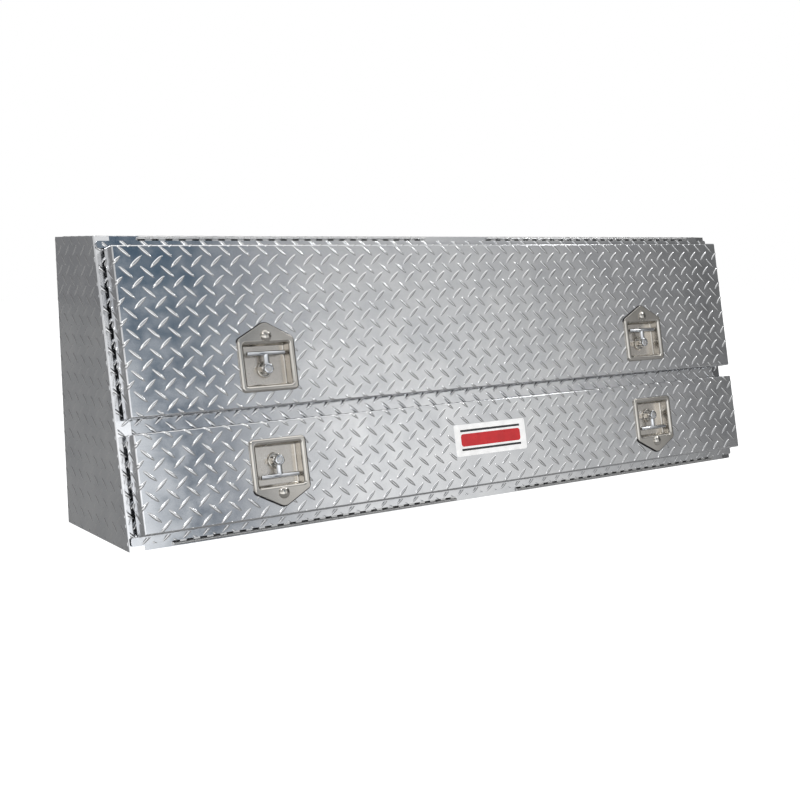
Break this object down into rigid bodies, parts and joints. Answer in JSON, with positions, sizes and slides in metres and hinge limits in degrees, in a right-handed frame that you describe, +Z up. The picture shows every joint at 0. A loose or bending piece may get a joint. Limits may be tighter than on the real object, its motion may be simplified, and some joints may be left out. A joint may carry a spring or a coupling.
{
  "type": "truck tool box",
  "caption": "Slant-front aluminium tread-plate truck tool box with a lift-up upper door and a drop-down lower door on piano hinges, closed by folding T-handle latches.",
  "frame": {"origin": "middle of the footprint of the whole box, doors and latches included, on the surface that it stands on", "axes": "+X along the box, -Y out of the front with the doors, +Z up"},
  "size_m": [1.524, 0.323, 0.5246],
  "materials": {
    "tread_plate": "bright rolled diamond tread",
    "plain_sheet": "mill finish sheet",
    "stainless": "polished stainless",
    "chrome": "bright chrome plate",
    "zinc_steel": "satin",
    "rubber": "matte",
    "black_paint": "gloss",
    "label_vinyl": "printed vinyl"
  },
  "bodies": {
    "body": {"back_panel": "plain_sheet", "top_panel": "tread_plate", "bottom_panel": "plain_sheet", "mid_shelf": "plain_sheet", "left_side_panel": "tread_plate", "right_side_panel": "tread_plate", "header_rail": "tread_plate", "mid_rail": "tread_plate", "sill_rail": "tread_plate", "upper_door_seal": "rubber", "lower_door_seal": "rubber", "upper_hinge_body_leaf_left": "zinc_steel", "upper_hinge_pin_left": "zinc_steel", "upper_hinge_body_leaf_right": "zinc_steel", "upper_hinge_pin_right": "zinc_steel", "lower_hinge_body_leaf_left": "zinc_steel", "lower_hinge_pin_left": "zinc_steel", "lower_hinge_body_leaf_right": "zinc_steel", "lower_hinge_pin_right": "zinc_steel", "strut_left_body_bracket": "zinc_steel", "strut_right_body_bracket": "zinc_steel"},
    "upper_door": {"upper_door_skin": "tread_plate", "upper_door_stiffener": "plain_sheet", "upper_hinge_door_leaf_left": "zinc_steel", "upper_hinge_door_leaf_right": "zinc_steel", "latch_upper_left_pan": "stainless", "latch_upper_left_bolt": "stainless", "latch_upper_right_pan": "stainless", "latch_upper_right_bolt": "stainless", "strut_left_door_bracket": "zinc_steel", "strut_right_door_bracket": "zinc_steel"},
    "lower_door": {"lower_door_skin": "tread_plate", "lower_door_stiffener": "plain_sheet", "lower_hinge_door_leaf_left": "zinc_steel", "lower_hinge_door_leaf_right": "zinc_steel", "latch_lower_left_pan": "stainless", "latch_lower_left_bolt": "stainless", "latch_lower_right_pan": "stainless", "latch_lower_right_bolt": "stainless", "label": "label_vinyl"},
    "latch_upper_left_spindle": {"latch_upper_left_spindle": "stainless", "latch_upper_left_cam": "zinc_steel"},
    "latch_upper_left_handle": {"latch_upper_left_handle": "chrome"},
    "latch_upper_left_lock_plug": {"latch_upper_left_lock_plug": "zinc_steel"},
    "latch_upper_right_spindle": {"latch_upper_right_spindle": "stainless", "latch_upper_right_cam": "zinc_steel"},
    "latch_upper_right_handle": {"latch_upper_right_handle": "chrome"},
    "latch_upper_right_lock_plug": {"latch_upper_right_lock_plug": "zinc_steel"},
    "latch_lower_left_spindle": {"latch_lower_left_spindle": "stainless", "latch_lower_left_cam": "zinc_steel"},
    "latch_lower_left_handle": {"latch_lower_left_handle": "chrome"},
    "latch_lower_left_lock_plug": {"latch_lower_left_lock_plug": "zinc_steel"},
    "latch_lower_right_spindle": {"latch_lower_right_spindle": "stainless", "latch_lower_right_cam": "zinc_steel"},
    "latch_lower_right_handle": {"latch_lower_right_handle": "chrome"},
    "latch_lower_right_lock_plug": {"latch_lower_right_lock_plug": "zinc_steel"},
    "strut_left_barrel": {"strut_left_barrel": "black_paint"},
    "strut_left_rod": {"strut_left_rod": "chrome"},
    "strut_right_barrel": {"strut_right_barrel": "black_paint"},
    "strut_right_rod": {"strut_right_rod": "chrome"}
  },
  "joints": [
    {"name": "upper_door_hinge", "type": "hinge", "parent": "body", "child": "upper_door", "pos_m": [0, -0.02486, 0.52145], "axis": [-1, 0, 0], "range_deg": [0, 90]},
    {"name": "lower_door_hinge", "type": "hinge", "parent": "body", "child": "lower_door", "pos_m": [0, -0.12793, 0.00463], "axis": [1, 0, 0], "range_deg": [0, 100]},
    {"name": "latch_upper_left_turn", "type": "hinge", "parent": "upper_door", "child": "latch_upper_left_spindle", "pos_m": [-0.483, -0.10898, 0.29085], "axis": [0, -0.9807, 0.1956], "range_deg": [0, 90]},
    {"name": "latch_upper_left_fold", "type": "hinge", "parent": "latch_upper_left_spindle", "child": "latch_upper_left_handle", "pos_m": [-0.483, -0.10408, 0.28987], "axis": [1, 0, 0], "range_deg": [0, 90]},
    {"name": "latch_upper_left_key", "type": "hinge", "parent": "latch_upper_left_handle", "child": "latch_upper_left_lock_plug", "pos_m": [-0.483, -0.11271, 0.29159], "axis": [0, -0.9807, 0.1956], "range_deg": [0, 90]},
    {"name": "latch_upper_right_turn", "type": "hinge", "parent": "upper_door", "child": "latch_upper_right_spindle", "pos_m": [0.4715, -0.10898, 0.29085], "axis": [0, -0.9807, 0.1956], "range_deg": [0, 90]},
    {"name": "latch_upper_right_fold", "type": "hinge", "parent": "latch_upper_right_spindle", "child": "latch_upper_right_handle", "pos_m": [0.4715, -0.10408, 0.28987], "axis": [1, 0, 0], "range_deg": [0, 90]},
    {"name": "latch_upper_right_key", "type": "hinge", "parent": "latch_upper_right_handle", "child": "latch_upper_right_lock_plug", "pos_m": [0.4715, -0.11271, 0.29159], "axis": [0, -0.9807, 0.1956], "range_deg": [0, 90]},
    {"name": "latch_lower_left_turn", "type": "hinge", "parent": "lower_door", "child": "latch_lower_left_spindle", "pos_m": [-0.483, -0.14102, 0.13021], "axis": [0, -0.9807, 0.1956], "range_deg": [0, 90]},
    {"name": "latch_lower_left_fold", "type": "hinge", "parent": "latch_lower_left_spindle", "child": "latch_lower_left_handle", "pos_m": [-0.483, -0.13611, 0.12923], "axis": [-1, 0, 0], "range_deg": [0, 90]},
    {"name": "latch_lower_left_key", "type": "hinge", "parent": "latch_lower_left_handle", "child": "latch_lower_left_lock_plug", "pos_m": [-0.483, -0.14474, 0.13096], "axis": [0, -0.9807, 0.1956], "range_deg": [0, 90]},
    {"name": "latch_lower_right_turn", "type": "hinge", "parent": "lower_door", "child": "latch_lower_right_spindle", "pos_m": [0.4715, -0.14102, 0.13021], "axis": [0, -0.9807, 0.1956], "range_deg": [0, 90]},
    {"name": "latch_lower_right_fold", "type": "hinge", "parent": "latch_lower_right_spindle", "child": "latch_lower_right_handle", "pos_m": [0.4715, -0.13611, 0.12923], "axis": [-1, 0, 0], "range_deg": [0, 90]},
    {"name": "latch_lower_right_key", "type": "hinge", "parent": "latch_lower_right_handle", "child": "latch_lower_right_lock_plug", "pos_m": [0.4715, -0.14474, 0.13096], "axis": [0, -0.9807, 0.1956], "range_deg": [0, 90]},
    {"name": "strut_left_swing", "type": "hinge", "parent": "body", "child": "strut_left_barrel", "pos_m": [-0.71, 0.05312, 0.30604], "axis": [-1, 0, 0], "range_deg": [0, 5]},
    {"name": "strut_left_stroke", "type": "slide", "parent": "strut_left_barrel", "child": "strut_left_rod", "axis": [0, -0.5552, 0.8317], "range_m": [0, 0.09]},
    {"name": "strut_right_swing", "type": "hinge", "parent": "body", "child": "strut_right_barrel", "pos_m": [0.71, 0.05312, 0.30604], "axis": [-1, 0, 0], "range_deg": [0, 5]},
    {"name": "strut_right_stroke", "type": "slide", "parent": "strut_right_barrel", "child": "strut_right_rod", "axis": [0, -0.5552, 0.8317], "range_m": [0, 0.09]}
  ],
  "couplings": [
    {"joint": "latch_upper_left_turn", "follows": "latch_upper_left_fold", "ratio": 1},
    {"joint": "latch_upper_right_turn", "follows": "latch_upper_right_fold", "ratio": 1},
    {"joint": "latch_lower_left_turn", "follows": "latch_lower_left_fold", "ratio": 1},
    {"joint": "latch_lower_right_turn", "follows": "latch_lower_right_fold", "ratio": 1},
    {"joint": "strut_left_swing", "follows": "upper_door_hinge", "ratio": 0.053144},
    {"joint": "strut_left_stroke", "follows": "upper_door_hinge", "m_per_rad": 0.055536},
    {"joint": "strut_right_swing", "follows": "upper_door_hinge", "ratio": 0.053144},
    {"joint": "strut_right_stroke", "follows": "upper_door_hinge", "m_per_rad": 0.055536}
  ]
}
